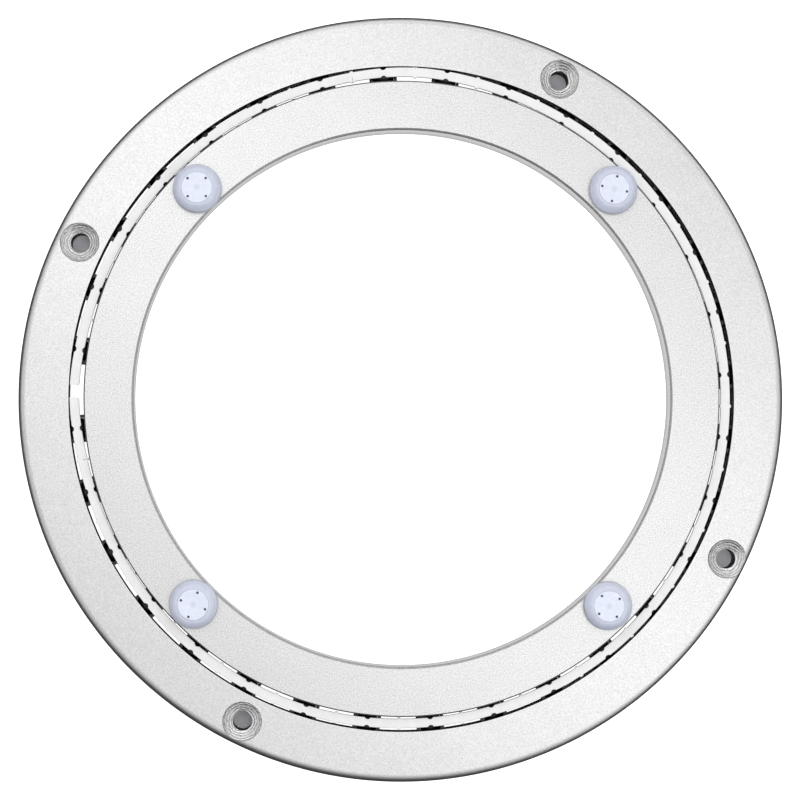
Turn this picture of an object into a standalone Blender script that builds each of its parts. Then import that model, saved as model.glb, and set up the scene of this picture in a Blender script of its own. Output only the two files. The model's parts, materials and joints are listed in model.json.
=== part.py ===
"""Ring bearing of a lazy susan turntable: two flat aluminium rings that turn on a caged row of steel balls.

The bearing lies with its feet and its countersunk screw holes up. A tray fastens to the outer ring's lower face.
In use the bearing is turned over, so the feet on the inner ring stand on the table. The origin is the centre of
the outer ring's lower face, and everything turns about +Z.
"""

import math

import bmesh
import bpy
from mathutils import Matrix, Vector

MM = 0.001

# Rings
OUTER_RADIUS = 100.0 * MM
BORE_RADIUS = 70.0 * MM
PITCH_RADIUS = 84.9 * MM
GAP_WIDTH = 3.9 * MM
RING_HEIGHT = 8.5 * MM
INNER_RING_LIFT = 1.0 * MM  # keeps the inner ring clear of the tray
RIM_ROUND = 2.0 * MM
TRAY_SIDE_ROUND = 1.0 * MM
LIP_CHAMFER = 0.15 * MM
INNER_LIP_CHAMFER = 0.33 * MM
LOWER_LIP_RELIEF = 0.3 * MM  # the outer ring's lower lip stands back by this much
BORE_CHAMFER = 0.55 * MM
RING_SEGMENTS = 96
ROUND_STEPS = 4

# Balls and their races
BALL_COUNT = 32
BALL_RADIUS = 2.975 * MM
BALL_HEIGHT = (RING_HEIGHT + INNER_RING_LIFT) / 2
BALL_FACET_LEVEL = 2
CONTACT_ANGLE = math.radians(40)
RACE_CLEARANCE = 0.075 * MM
RACE_FLOOR_OFFSET = 3.6 * MM  # from the pitch circle to the flat bottom of each groove

# Screw holes: angle in degrees and distance from the axis. They were drilled a little off one common circle.
SCREW_HOLES = ((63.8, 93.3 * MM), (154.4, 93.3 * MM), (243.6, 93.8 * MM), (333.6, 94.8 * MM))
SCREW_HOLE_RADIUS = 2.575 * MM
COUNTERSINK_RADIUS = 5.05 * MM
COUNTERSINK_SLOPE = math.radians(45)
HOLE_SEGMENTS = 24
CUT_MARGIN = 1.0 * MM

# Cage: a flexible strip, bent into a ring and left open, with one pocket under it for each ball
FIRST_POCKET = 185.5
POCKET_PITCH = 11.166
START_MARGIN = 5.5
END_MARGIN = 6.25
STRIP_WIDTH = 2.47 * MM
STRIP_THICKNESS = 0.7 * MM
CAGE_HEAD = RING_HEIGHT
WEB_WIDTH = 1.4 * MM
WEB_OVERLAP = 0.35 * MM
POCKET_LENGTH = 7.1 * MM
POCKET_WIDTH = 4.4 * MM
POCKET_HALF_HEIGHT = 1.7 * MM
POCKET_BORE_RADIUS = 3.15 * MM
POCKET_BORE_DEPTH = 6.3 * MM
POCKET_BORE_SEGMENTS = 12
NOTCH_RADIUS = 0.85 * MM
NOTCH_DEPTH = 0.45 * MM
NOTCH_SHOULDER = 0.55  # share of the notch's half width
NOTCH_SHOULDER_DEPTH = 0.75  # share of its depth there
NUB_WIDTH = 0.75 * MM
NUB_DRAFT = 0.08 * MM
NUB_REACH = 0.55 * MM
LIP_CLEARANCE = 0.12 * MM
END_CORNER = 0.7 * MM

# How the open strip lies in the gap: angle, lift and reach of each place where it springs outward or sags inward
RELAXED_RADIUS = 84.6 * MM
STRIP_WAVES = (
    (45.0, -0.27 * MM, 30.0),
    (88.5, 0.8 * MM, 13.0),
    (140.0, -0.15 * MM, 20.0),
    (178.9, 0.8 * MM, 9.5),
    (207.0, -0.2 * MM, 14.0),
    (250.0, 0.32 * MM, 18.0),
    (314.0, 0.4 * MM, 18.0),
)

# Feet: angle in degrees and distance from the axis. They are stuck on by hand.
FEET = ((44.7, 77.3 * MM), (134.7, 76.3 * MM), (224.6, 76.3 * MM), (314.5, 76.0 * MM))
FOOT_RADIUS = 6.35 * MM
FOOT_FACE_RADIUS = 4.0 * MM
FOOT_HEIGHT = 3.5 * MM
FOOT_SKIRT = 0.5 * MM
FOOT_STEPS = 4
FOOT_SEGMENTS = 24
ADHESIVE_RADIUS = 5.9 * MM
ADHESIVE_THICKNESS = 0.2 * MM
TOUCH_GAP = 0.1 * MM

# Finishes: colour, roughness and metallic share
OUTER_ALUMINIUM = ((0.80, 0.80, 0.80), 0.5, 1.0)
INNER_ALUMINIUM = ((0.78, 0.78, 0.78), 0.5, 1.0)
NYLON = ((0.86, 0.86, 0.85), 0.45, 0.0)
BALL_STEEL = ((0.56, 0.57, 0.58), 0.15, 1.0)
CLEAR_POLYURETHANE = ((0.68, 0.71, 0.84), 0.2, 0.0)
CLEAR_ADHESIVE = ((0.80, 0.81, 0.86), 0.4, 0.0)

SMOOTH_BELOW = math.radians(35)
MERGE_DISTANCE = 1e-7


def clear_scene():
    """Remove every object and mesh that the file opened with."""
    for obj in list(bpy.data.objects):
        bpy.data.objects.remove(obj, do_unlink=True)
    for mesh in list(bpy.data.meshes):
        bpy.data.meshes.remove(mesh)


def make_material(name, finish):
    """Principled surface of one plain finish."""
    colour, roughness, metallic = finish
    material = bpy.data.materials.new(name)
    material.use_nodes = True
    shader = material.node_tree.nodes["Principled BSDF"]
    shader.inputs["Base Color"].default_value = (*colour, 1.0)
    shader.inputs["Roughness"].default_value = roughness
    shader.inputs["Metallic"].default_value = metallic
    return material


def add_object(name, mesh, material=None, parent=None):
    """Link a mesh into the scene under its own name."""
    obj = bpy.data.objects.new(name, mesh)
    bpy.context.scene.collection.objects.link(obj)
    if material and not mesh.materials:
        mesh.materials.append(material)
    obj.parent = parent
    return obj


def hide_helper(obj):
    """A helper shapes another object and is no piece of its own."""
    obj.hide_render = True
    obj.display_type = "WIRE"


def finish_mesh(name, bm):
    """Turn a bmesh into a mesh whose faces point out and whose round sides shade smooth."""
    bmesh.ops.recalc_face_normals(bm, faces=bm.faces)
    mesh = bpy.data.meshes.new(name)
    bm.to_mesh(mesh)
    bm.free()
    mesh.shade_smooth()
    mesh.set_sharp_from_angle(angle=SMOOTH_BELOW)
    return mesh


def add_boolean(obj, operation, other):
    """Join another object to this one, or cut it away."""
    modifier = obj.modifiers.new(operation.lower(), "BOOLEAN")
    modifier.operation = operation
    modifier.object = other
    modifier.solver = "EXACT"


def polar(radius, degrees, height=0.0):
    """Point at a distance and an angle about the bearing's axis."""
    angle = math.radians(degrees)
    return Vector((radius * math.cos(angle), radius * math.sin(angle), height))


def corner_points(centre, radius, start, end, steps=ROUND_STEPS):
    """Points of a round corner about its centre, from one angle to another in degrees."""
    points = []
    for step in range(steps + 1):
        angle = math.radians(start + (end - start) * step / steps)
        points.append((centre[0] + radius * math.cos(angle), centre[1] + radius * math.sin(angle)))
    return points


def add_turned(bm, profile, segments, closed=True):
    """Turn a profile of (radius, height) points once about the Z axis."""
    verts = [bm.verts.new((radius, 0.0, height)) for radius, height in profile]
    pairs = zip(verts, verts[1:] + verts[:1]) if closed else zip(verts, verts[1:])
    edges = [bm.edges.new(pair) for pair in pairs]
    bmesh.ops.spin(
        bm,
        geom=verts + edges,
        cent=(0.0, 0.0, 0.0),
        axis=(0.0, 0.0, 1.0),
        angle=2 * math.pi,
        steps=segments,
        use_merge=True,
    )
    bmesh.ops.remove_doubles(bm, verts=bm.verts, dist=MERGE_DISTANCE)


def turned_mesh(name, profile, segments, closed=True):
    bm = bmesh.new()
    add_turned(bm, profile, segments, closed)
    return finish_mesh(name, bm)


def race_half_height(offset):
    """Half the groove's height at this distance from the pitch circle: its flanks face the balls at the contact angle."""
    reach = BALL_RADIUS + RACE_CLEARANCE
    return (reach - offset * math.cos(CONTACT_ANGLE)) / math.sin(CONTACT_ANGLE)


def race_profile(side, lower_relief=0.0):
    """Groove from the upper lip down to the lower lip, outside the balls for side 1 and inside them for side -1."""
    corners = (
        (GAP_WIDTH / 2, 1),
        (RACE_FLOOR_OFFSET, 1),
        (RACE_FLOOR_OFFSET, -1),
        (GAP_WIDTH / 2 + lower_relief, -1),
    )
    points = []
    for offset, way in corners:
        points.append((PITCH_RADIUS + side * offset, BALL_HEIGHT + way * race_half_height(offset)))
    return points


def outer_ring_profile():
    top = RING_HEIGHT
    lip_radius = PITCH_RADIUS + GAP_WIDTH / 2
    lower_lip_radius = lip_radius + LOWER_LIP_RELIEF
    rim_centre = (OUTER_RADIUS - RIM_ROUND, top - RIM_ROUND)
    tray_centre = (OUTER_RADIUS - TRAY_SIDE_ROUND, TRAY_SIDE_ROUND)
    return [
        (lip_radius + LIP_CHAMFER, top),
        (lip_radius, top - LIP_CHAMFER),
        *race_profile(1, LOWER_LIP_RELIEF),
        (lower_lip_radius, LIP_CHAMFER),
        (lower_lip_radius + LIP_CHAMFER, 0.0),
        *corner_points(tray_centre, TRAY_SIDE_ROUND, -90, 0, ROUND_STEPS - 1),
        *corner_points(rim_centre, RIM_ROUND, 0, 90),
    ]


def inner_ring_profile():
    foot = INNER_RING_LIFT
    top = INNER_RING_LIFT + RING_HEIGHT
    lip_radius = PITCH_RADIUS - GAP_WIDTH / 2
    return [
        (lip_radius - INNER_LIP_CHAMFER, top),
        (lip_radius, top - INNER_LIP_CHAMFER),
        *race_profile(-1),
        (lip_radius, foot + LIP_CHAMFER),
        (lip_radius - LIP_CHAMFER, foot),
        (BORE_RADIUS + BORE_CHAMFER, foot),
        (BORE_RADIUS, foot + BORE_CHAMFER),
        (BORE_RADIUS, top - BORE_CHAMFER),
        (BORE_RADIUS + BORE_CHAMFER, top),
    ]


def screw_hole_cutter():
    """Four countersunk holes as one cutter that runs past both faces of the outer ring."""
    cone_depth = (COUNTERSINK_RADIUS - SCREW_HOLE_RADIUS) / math.tan(COUNTERSINK_SLOPE)
    mouth = CUT_MARGIN * math.tan(COUNTERSINK_SLOPE)
    profile = [
        (0.0, -CUT_MARGIN),
        (SCREW_HOLE_RADIUS, -CUT_MARGIN),
        (SCREW_HOLE_RADIUS, RING_HEIGHT - cone_depth),
        (COUNTERSINK_RADIUS + mouth, RING_HEIGHT + CUT_MARGIN),
        (0.0, RING_HEIGHT + CUT_MARGIN),
    ]
    bm = bmesh.new()
    for degrees, radius in SCREW_HOLES:
        hole = bmesh.new()
        add_turned(hole, profile, HOLE_SEGMENTS, closed=False)
        bmesh.ops.translate(hole, verts=hole.verts, vec=polar(radius, degrees))
        copy = bpy.data.meshes.new("one_screw_hole")
        hole.to_mesh(copy)
        hole.free()
        bm.from_mesh(copy)
        bpy.data.meshes.remove(copy)
    cutter = add_object("screw_hole_cutter", finish_mesh("screw_hole_cutter", bm))
    hide_helper(cutter)
    return cutter


def pocket_angles():
    return [FIRST_POCKET + POCKET_PITCH * index for index in range(BALL_COUNT)]


def strip_radius(degrees):
    """Middle of the strip at this angle."""
    radius = RELAXED_RADIUS
    for place, lift, reach in STRIP_WAVES:
        away = (degrees - place + 180) % 360 - 180
        radius += lift * math.exp(-((away / reach) ** 2))
    return radius


def arc_degrees(length):
    """Angle that this length of the strip takes up."""
    return math.degrees(length / PITCH_RADIUS)


def strip_station(degrees, inward=0.0, outward=0.0):
    """Angle, inner radius and outer radius of the strip, whose edges stand out by the given amounts."""
    middle = strip_radius(degrees)
    inner = middle - STRIP_WIDTH / 2 - inward
    outer = middle + STRIP_WIDTH / 2 + outward
    return degrees, inner, outer


def nub_station(degrees):
    """The nubs reach for the lips and stop at a running clearance."""
    _, inner, outer = strip_station(degrees, NUB_REACH, NUB_REACH)
    half_gap = GAP_WIDTH / 2 - LIP_CLEARANCE
    return degrees, max(inner, PITCH_RADIUS - half_gap), min(outer, PITCH_RADIUS + half_gap)


def strip_stations():
    """A half-round notch in both edges of the strip over each ball, and a nub on both edges between two balls."""
    half_notch = math.sqrt(NOTCH_RADIUS**2 - (NOTCH_RADIUS - NOTCH_DEPTH) ** 2)
    shoulder = NOTCH_DEPTH * NOTCH_SHOULDER_DEPTH
    notch = (
        (-1.0, 0.0),
        (-NOTCH_SHOULDER, shoulder),
        (0.0, NOTCH_DEPTH),
        (NOTCH_SHOULDER, shoulder),
        (1.0, 0.0),
    )
    angles = pocket_angles()
    corner = arc_degrees(END_CORNER)
    first = angles[0] - START_MARGIN
    last = angles[-1] + END_MARGIN
    stations = [strip_station(first, -END_CORNER), strip_station(first + corner)]
    for pocket in angles:
        for share, depth in notch:
            stations.append(strip_station(pocket + arc_degrees(share * half_notch), -depth, -depth))
        if pocket == angles[-1]:
            continue
        middle = pocket + POCKET_PITCH / 2
        top = arc_degrees(NUB_WIDTH / 2)
        base = top + arc_degrees(NUB_DRAFT)
        stations.append(strip_station(middle - base))
        stations.append(nub_station(middle - top))
        stations.append(nub_station(middle + top))
        stations.append(strip_station(middle + base))
    stations += [strip_station(last - corner), strip_station(last, -END_CORNER)]
    return stations


def add_strip(bm, stations, low, high):
    """Solid strip through the stations, between two heights."""
    rows = []
    for degrees, inner, outer in stations:
        corners = ((inner, low), (outer, low), (outer, high), (inner, high))
        rows.append([bm.verts.new(polar(radius, degrees, height)) for radius, height in corners])
    for row, following in zip(rows, rows[1:]):
        for index in range(4):
            after = (index + 1) % 4
            bm.faces.new((row[index], row[after], following[after], following[index]))
    bm.faces.new(rows[0])
    bm.faces.new(rows[-1])


def add_pocket(bm, degrees):
    """Block round one ball, with a web that joins it to the strip above."""
    shift = strip_radius(degrees) - PITCH_RADIUS
    web_high = CAGE_HEAD - WEB_OVERLAP
    web_in = shift - WEB_WIDTH / 2
    web_out = shift + WEB_WIDTH / 2
    block_low = BALL_HEIGHT - POCKET_HALF_HEIGHT
    block_high = BALL_HEIGHT + POCKET_HALF_HEIGHT
    block = POCKET_WIDTH / 2
    outline = (
        (-block, block_low),
        (block, block_low),
        (block, block_high),
        (web_out, block_high),
        (web_out, web_high),
        (web_in, web_high),
        (web_in, block_high),
        (-block, block_high),
    )
    turn = Matrix.Rotation(math.radians(degrees), 4, "Z")
    ends = []
    for side in (-1, 1):
        along = side * POCKET_LENGTH / 2
        points = [Vector((PITCH_RADIUS + across, along, height)) for across, height in outline]
        ends.append([bm.verts.new(turn @ point) for point in points])
    near, far = ends
    for index in range(len(outline)):
        after = (index + 1) % len(outline)
        bm.faces.new((near[index], near[after], far[after], far[index]))
    bm.faces.new(near)
    bm.faces.new(far)


def cage_pockets():
    bm = bmesh.new()
    for degrees in pocket_angles():
        add_pocket(bm, degrees)
    pockets = add_object("cage_pockets", finish_mesh("cage_pockets", bm))
    hide_helper(pockets)
    return pockets


def pocket_bore_cutter():
    """One upright bore through each pocket, a little wider than its ball and just short of the strip's top."""
    bm = bmesh.new()
    for degrees in pocket_angles():
        place = Matrix.Translation(polar(PITCH_RADIUS, degrees, BALL_HEIGHT))
        bmesh.ops.create_cone(
            bm,
            cap_ends=True,
            segments=POCKET_BORE_SEGMENTS,
            radius1=POCKET_BORE_RADIUS,
            radius2=POCKET_BORE_RADIUS,
            depth=POCKET_BORE_DEPTH,
            matrix=place,
        )
    cutter = add_object("pocket_bore_cutter", finish_mesh("pocket_bore_cutter", bm))
    hide_helper(cutter)
    return cutter


def make_outer_ring(material):
    mesh = turned_mesh("outer_ring", outer_ring_profile(), RING_SEGMENTS)
    ring = add_object("outer_ring", mesh, material)
    add_boolean(ring, "DIFFERENCE", screw_hole_cutter())


def make_inner_ring(material):
    mesh = turned_mesh("inner_ring", inner_ring_profile(), RING_SEGMENTS)
    return add_object("inner_ring", mesh, material)


def make_cage(material):
    bm = bmesh.new()
    add_strip(bm, strip_stations(), CAGE_HEAD - STRIP_THICKNESS, CAGE_HEAD)
    cage = add_object("ball_cage", finish_mesh("ball_cage", bm), material)
    add_boolean(cage, "UNION", cage_pockets())
    add_boolean(cage, "DIFFERENCE", pocket_bore_cutter())
    return cage


def make_balls(material, cage):
    """The balls share one mesh, and each has its origin at its centre, which its own spin axis runs through."""
    bm = bmesh.new()
    bmesh.ops.create_icosphere(bm, subdivisions=BALL_FACET_LEVEL, radius=BALL_RADIUS)
    mesh = finish_mesh("ball", bm)
    for number, degrees in enumerate(pocket_angles(), start=1):
        ball = add_object(f"ball_{number:02d}", mesh, material, cage)
        ball.location = polar(PITCH_RADIUS, degrees, BALL_HEIGHT)
        ball.rotation_euler.z = math.radians(degrees)


def foot_profile():
    """Flat base, short upright skirt and a rounded flank up to the flat face that stands on the table."""
    flank = []
    for step in range(FOOT_STEPS + 1):
        angle = math.pi / 2 * step / FOOT_STEPS
        radius = FOOT_FACE_RADIUS + (FOOT_RADIUS - FOOT_FACE_RADIUS) * math.cos(angle)
        height = FOOT_SKIRT + (FOOT_HEIGHT - FOOT_SKIRT) * math.sin(angle)
        flank.append((radius, height))
    return [(0.0, 0.0), (FOOT_RADIUS, 0.0), *flank, (0.0, FOOT_HEIGHT)]


def adhesive_profile():
    return [
        (0.0, 0.0),
        (ADHESIVE_RADIUS, 0.0),
        (ADHESIVE_RADIUS, ADHESIVE_THICKNESS),
        (0.0, ADHESIVE_THICKNESS),
    ]


def make_feet(foot_material, adhesive_material, inner_ring):
    """Each foot stands on its own disc of adhesive film on the inner ring."""
    foot_mesh = turned_mesh("foot", foot_profile(), FOOT_SEGMENTS, closed=False)
    adhesive_mesh = turned_mesh("foot_adhesive", adhesive_profile(), FOOT_SEGMENTS, closed=False)
    adhesive_height = INNER_RING_LIFT + RING_HEIGHT + TOUCH_GAP
    foot_height = adhesive_height + ADHESIVE_THICKNESS + TOUCH_GAP
    for number, (degrees, radius) in enumerate(FEET, start=1):
        foot = add_object(f"foot_{number}", foot_mesh, foot_material, inner_ring)
        foot.location = polar(radius, degrees, foot_height)
        adhesive = add_object(f"foot_adhesive_{number}", adhesive_mesh, adhesive_material, inner_ring)
        adhesive.location = polar(radius, degrees, adhesive_height)


def main():
    clear_scene()
    make_outer_ring(make_material("outer_aluminium", OUTER_ALUMINIUM))
    inner_ring = make_inner_ring(make_material("inner_aluminium", INNER_ALUMINIUM))
    cage = make_cage(make_material("moulded_nylon", NYLON))
    make_balls(make_material("bearing_steel", BALL_STEEL), cage)
    rubber = make_material("clear_polyurethane", CLEAR_POLYURETHANE)
    adhesive = make_material("clear_adhesive", CLEAR_ADHESIVE)
    make_feet(rubber, adhesive, inner_ring)


main()
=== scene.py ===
"""Looks of a lazy susan's ring bearing: blasted aluminium rings, a nylon cage, steel balls and clear feet.

Everything is made round the fixed frame, in metres. The origin is the middle of the outer ring's lower face.
"""

import json
import math

import bmesh
import bpy
from bpy.props import FloatProperty, FloatVectorProperty, IntProperty, PointerProperty
from mathutils import Matrix, Vector, noise

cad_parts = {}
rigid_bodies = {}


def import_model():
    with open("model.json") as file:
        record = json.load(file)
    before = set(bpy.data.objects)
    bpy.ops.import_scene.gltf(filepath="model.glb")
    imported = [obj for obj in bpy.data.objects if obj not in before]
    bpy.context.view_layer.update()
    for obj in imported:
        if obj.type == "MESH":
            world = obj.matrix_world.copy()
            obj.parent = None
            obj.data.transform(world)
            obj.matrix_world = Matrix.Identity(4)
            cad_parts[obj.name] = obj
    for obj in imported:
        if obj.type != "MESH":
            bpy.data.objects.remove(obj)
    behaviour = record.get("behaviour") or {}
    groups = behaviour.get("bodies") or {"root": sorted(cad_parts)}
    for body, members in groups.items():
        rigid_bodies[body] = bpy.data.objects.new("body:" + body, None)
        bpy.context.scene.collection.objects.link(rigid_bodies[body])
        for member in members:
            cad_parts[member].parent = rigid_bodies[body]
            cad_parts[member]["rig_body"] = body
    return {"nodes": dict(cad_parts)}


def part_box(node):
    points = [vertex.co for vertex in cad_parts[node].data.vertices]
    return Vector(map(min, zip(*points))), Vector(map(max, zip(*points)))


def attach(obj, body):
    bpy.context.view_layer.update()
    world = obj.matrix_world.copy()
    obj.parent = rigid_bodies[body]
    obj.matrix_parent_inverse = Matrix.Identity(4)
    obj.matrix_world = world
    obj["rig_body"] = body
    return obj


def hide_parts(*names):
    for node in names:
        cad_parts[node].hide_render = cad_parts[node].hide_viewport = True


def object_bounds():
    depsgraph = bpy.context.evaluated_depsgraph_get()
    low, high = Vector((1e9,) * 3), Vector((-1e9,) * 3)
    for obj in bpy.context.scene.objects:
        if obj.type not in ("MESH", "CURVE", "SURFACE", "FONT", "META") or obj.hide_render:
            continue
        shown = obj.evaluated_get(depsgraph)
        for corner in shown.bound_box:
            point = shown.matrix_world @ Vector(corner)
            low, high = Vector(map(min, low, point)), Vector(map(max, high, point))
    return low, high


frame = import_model()

bl_info = {
    "name": "Turntable Ring Bearing",
    "version": (1, 0, 0),
    "blender": (4, 5, 0),
    "location": "3D View > Sidebar > Turntable",
    "description": "Builds the surfaces of a ring bearing for a rotating tray, and the stage it is shown on",
    "category": "Object",
}

MM = 0.001
CAD_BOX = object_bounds()
OUTER_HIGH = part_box("outer_ring")[1]
INNER_LOW, INNER_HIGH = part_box("inner_ring")
CAGE_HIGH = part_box("ball_cage")[1]
FOOT_LOW, FOOT_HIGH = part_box("foot_1")
FILM_LOW, FILM_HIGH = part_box("foot_adhesive_1")
BALL_LOW, BALL_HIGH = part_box("ball_01")

BALL_NODES = sorted(name for name in frame["nodes"] if name.startswith("ball_") and name != "ball_cage")
FOOT_COUNT = 4

# Rings
RING_SEGMENTS = 720
CORNER_STEPS = 8
SUPPORT = 0.05 * MM  # distance of the loops that keep the flat faces flat beside their rounded edges
TRAY_SIDE_ROUND = 1.0 * MM
LIP_ROUND = 0.15 * MM
INNER_LIP_CHAMFER = 0.33 * MM
LOWER_LIP_RELIEF = 0.3 * MM
CONTACT_ANGLE = math.radians(40)
RACE_CLEARANCE = 0.075 * MM
RACE_FLOOR_OFFSET = 3.6 * MM

# Screw holes: angle in degrees, distance from the axis, and how far round the drill's marks are turned
SCREW_HOLES = (
    (63.8, 93.3 * MM, 20.0),
    (154.4, 93.3 * MM, 140.0),
    (243.6, 93.8 * MM, 205.0),
    (333.6, 94.8 * MM, 310.0),
)
COUNTERSINK_SLOPE = math.radians(45)
HOLE_SEGMENTS = 144
CONE_STEPS = 60
CUT_MARGIN = 1.0 * MM
COUNTERSINK_SPAN = 5.0 * MM
CHATTER_PITCH = 0.62 * MM
CHATTER_DEPTH = 0.085 * MM
CHATTER_DRIFT = 0.09 * MM
RAGGED_EDGE = 0.07 * MM
RAGGED_LENGTH = 0.5 * MM

# Cage: angles in degrees
FIRST_POCKET = 185.5
POCKET_PITCH = 11.166
START_MARGIN = 5.5
END_MARGIN = 6.25
STRIP_THICKNESS = 0.7 * MM
STRIP_EDGE = 0.12 * MM
WEB_WIDTH = 1.4 * MM
WEB_OVERLAP = 0.35 * MM
POCKET_LENGTH = 7.1 * MM
POCKET_WIDTH = 4.4 * MM
POCKET_HALF_HEIGHT = 1.7 * MM
POCKET_BORE_RADIUS = 3.03 * MM
POCKET_BORE_DEPTH = 6.3 * MM
POCKET_BORE_SEGMENTS = 48
NOTCH_STEPS = 8
PLAIN_STEPS = 5
NUB_WIDTH = 0.75 * MM
NUB_DRAFT = 0.08 * MM
NUB_REACH = 0.3 * MM
LIP_CLEARANCE = 0.12 * MM
END_CORNER = 0.7 * MM
HAIRLINE_WIDTH = 0.16 * MM
HAIRLINE_DEPTH = 0.16 * MM
TICK_DEPTH = 0.55 * MM
HAIRLINE_LINKS = (0, 24)  # links of the strip that show a moulding line across their inner half
TICK_LINK = 23  # link whose outer nub is split by a small V

# How the open strip lies in the gap: angle, lift and reach of each place where it springs out or sags in
RELAXED_RADIUS = 84.6 * MM
STRIP_WAVES = (
    (45.0, -0.27 * MM, 30.0),
    (88.5, 0.8 * MM, 13.0),
    (140.0, -0.15 * MM, 20.0),
    (178.9, 0.8 * MM, 9.5),
    (207.0, -0.2 * MM, 14.0),
    (250.0, 0.32 * MM, 18.0),
    (314.0, 0.4 * MM, 18.0),
)

# Balls
BALL_FACET_LEVEL = 5

# Feet: angle of the row of moulding pips on each foot, in degrees
PIP_TURNS = (77.6, 45.7, 69.5, 35.8)
PIP_COUNT = 4
PIP_CIRCLE = 3.3 * MM
PIP_RADIUS = 0.46 * MM
PIP_DEPTH = 0.3 * MM
PIP_SEGMENTS = 20
FOOT_SEGMENTS = 128
FOOT_STEPS = 24
FOOT_SKIRT = 0.5 * MM
FACE_STEP = 0.12 * MM
FACE_ROUND = 0.06 * MM
FACE_DISH = 0.1 * MM
FACE_STEPS = 10
FILM_SEGMENTS = 96
FILM_EDGE = 0.04 * MM

# Finishes: how large their patterns are, and between which tones they run
NOISE_SPREAD = (0.3, 0.7)  # nearly all of a noise texture lies between these values
FINE_BUMP = 0.02 * MM
COARSE_BUMP = 0.03 * MM
OUTER_GRIT = 0.3 * MM
OUTER_CONTRAST = 0.2
INNER_GRIT = 0.34 * MM
INNER_CONTRAST = 0.25
CLOUD_SIZE = 11.0 * MM
CLOUD_TONES = (0.985, 1.01)
PIT_SPACING = 1.7 * MM
PIT_EDGE = (0.05, 0.11)
PIT_DARKNESS = 1.2
# Painted shade: how softly and how deeply the inner ring's lip chamfer is darkened
LIP_SHADE_FADE = 0.04 * MM
LIP_SHADE_TONE = 0.3
WEAR_WIDTH = (0.1 * MM, 0.3 * MM)
RUBBED_SPAN = (0.0, 0.7)
RUBBED_ROUGHNESS = (0.4, 0.28)
STREAK_SIZE = 0.5 * MM
STREAK_TONES = (0.86, 1.2)
SCORE_DRIFT_SIZE = 2.2 * MM
SCORE_DRIFT = 0.35 * MM
# Painted shade and painted highlight of the chatter rings in the countersinks
CHATTER_SHADE_SPAN = (0.25, 0.95)
CHATTER_SHADE_TONES = (1.08, 0.58)
# Painted shade round the countersinks' mouths
MOUTH_SHADE_BAND = (0.3 * MM, 0.05 * MM)
MOUTH_SHADE_TONE = 0.5
NYLON_SMEAR_SIZE = 1.8 * MM
NYLON_TEXTURE_SIZE = 0.3 * MM
NYLON_TONES = (0.95, 1.02)
NYLON_ROUGHNESS = (0.45, 0.3)
# Painted shade: ragged edge and blur of the line below which the cage is blackened
SHADE_LINE_RAGGED = 0.15 * MM
SHADE_LINE_BLUR = 0.05 * MM
# Painted shade on the strip's edges: the band at the top left clear, and how dark the edges below it get
UNSHADED_TOP = 0.036 * MM
EDGE_SHADE_TONE = 0.35
STEEL_SMEAR_SIZE = 1.5 * MM
STEEL_TONES = (0.85, 1.05)
STEEL_ROUGHNESS = (0.22, 0.34)
FLOW_SIZE = 1.1 * MM
FLOW_TONES = (0.94, 1.02)
RUBBER_ROUGHNESS = (0.12, 0.22)
FACE_BLUR = 0.1 * MM
DIMPLE_RADIUS = 1.3 * MM
# Painted shade of the feet: the dimple's tone, and each thin edge's width and darkness
DIMPLE_SHADE_TONE = 0.84
FACE_EDGE_SHADE = (0.14 * MM, 0.25)  # width and darkness
FOOT_EDGE_SHADE = (0.3 * MM, 0.6)
# Painted light: how strongly the feet's face and flank glow
FACE_GLOW = 0.13
FLANK_GLOW = 0.03
# Painted shade in the pips: size and tones of its specks
PIP_SPECK_SIZE = 0.2 * MM
PIP_SPECK_TONES = (0.8, 1.2)
BUBBLE_SPACING = 0.7 * MM
BUBBLE_EDGE = (0.05, 0.3)
BUBBLE_TONES = (0.9, 1.0)

SMOOTH_BELOW = math.radians(30)
MERGE_DISTANCE = 1e-7

# Stage: distances in metres, brightness as a share of the bare floor's
FLOOR_SIZE = 6.0
FLOOR_GAP = 0.05 * MM
CAMERA_PLACE = (-28.0 * MM, -22.0 * MM, 650.0 * MM)
CAMERA_AIM = (-0.71 * MM, -0.54 * MM, 6.0 * MM)
LENS_LENGTH = 110.844
SENSOR_WIDTH = 36.0
KEY_PLACE = (25.0 * MM, 20.0 * MM, 450.0 * MM)
KEY_TURN = math.radians(-45)
KEY_SIZE = (0.26, 0.95)
KEY_POWER = 0.69
WORLD_STRENGTH = 1.15
DARK_SIDE = math.radians(252)
DARK_SIDE_SPAN = (0.5, 0.92)
DARK_SIDE_LIGHT = (1.0, 0.12)
FAR_SIDE_SPAN = (-0.2, -0.9)
FAR_SIDE_LIGHT = (1.0, 1.5)
OVERHEAD_SPAN = (0.4, 0.75)
OVERHEAD_LIGHT = (0.8, 0.62)
HORIZON_SPAN = (0.12, 0.42)
HORIZON_LIGHT = (0.05, 1.0)
WHITE = (1.0, 1.0, 1.0, 1.0)
FLOOR_GLOW = 1.1
RIM_GLOW_BAND = (0.6 * MM, 0.4 * MM)
BORE_GLOW_BAND = (1.6 * MM, 1.4 * MM)
INNER_GLOW_FADE = 0.3 * MM
OUTER_GLOW_BAND = (1.6 * MM, 1.8 * MM)
BORE_LIGHT = 0.75
BORE_LIGHT_FADE = 1.0 * MM
FLOOR_SPECK_SIZE = 2.0 * MM
FLOOR_TONES = (0.97, 1.0)
UNSEEN_FLOOR_TONE = 0.06


def linear(colour_hex):
    """Linear red, green and blue of an sRGB colour written as #RRGGBB."""
    channels = [int(colour_hex[start : start + 2], 16) / 255 for start in (1, 3, 5)]
    return tuple(c / 12.92 if c <= 0.04045 else ((c + 0.055) / 1.055) ** 2.4 for c in channels)


def rgba(colour):
    return (*colour, 1.0)


def scale_for(size):
    """Texture scale at which one speck of the pattern is this many metres across."""
    return 1.0 / size


# ---------------------------------------------------------------- properties


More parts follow.
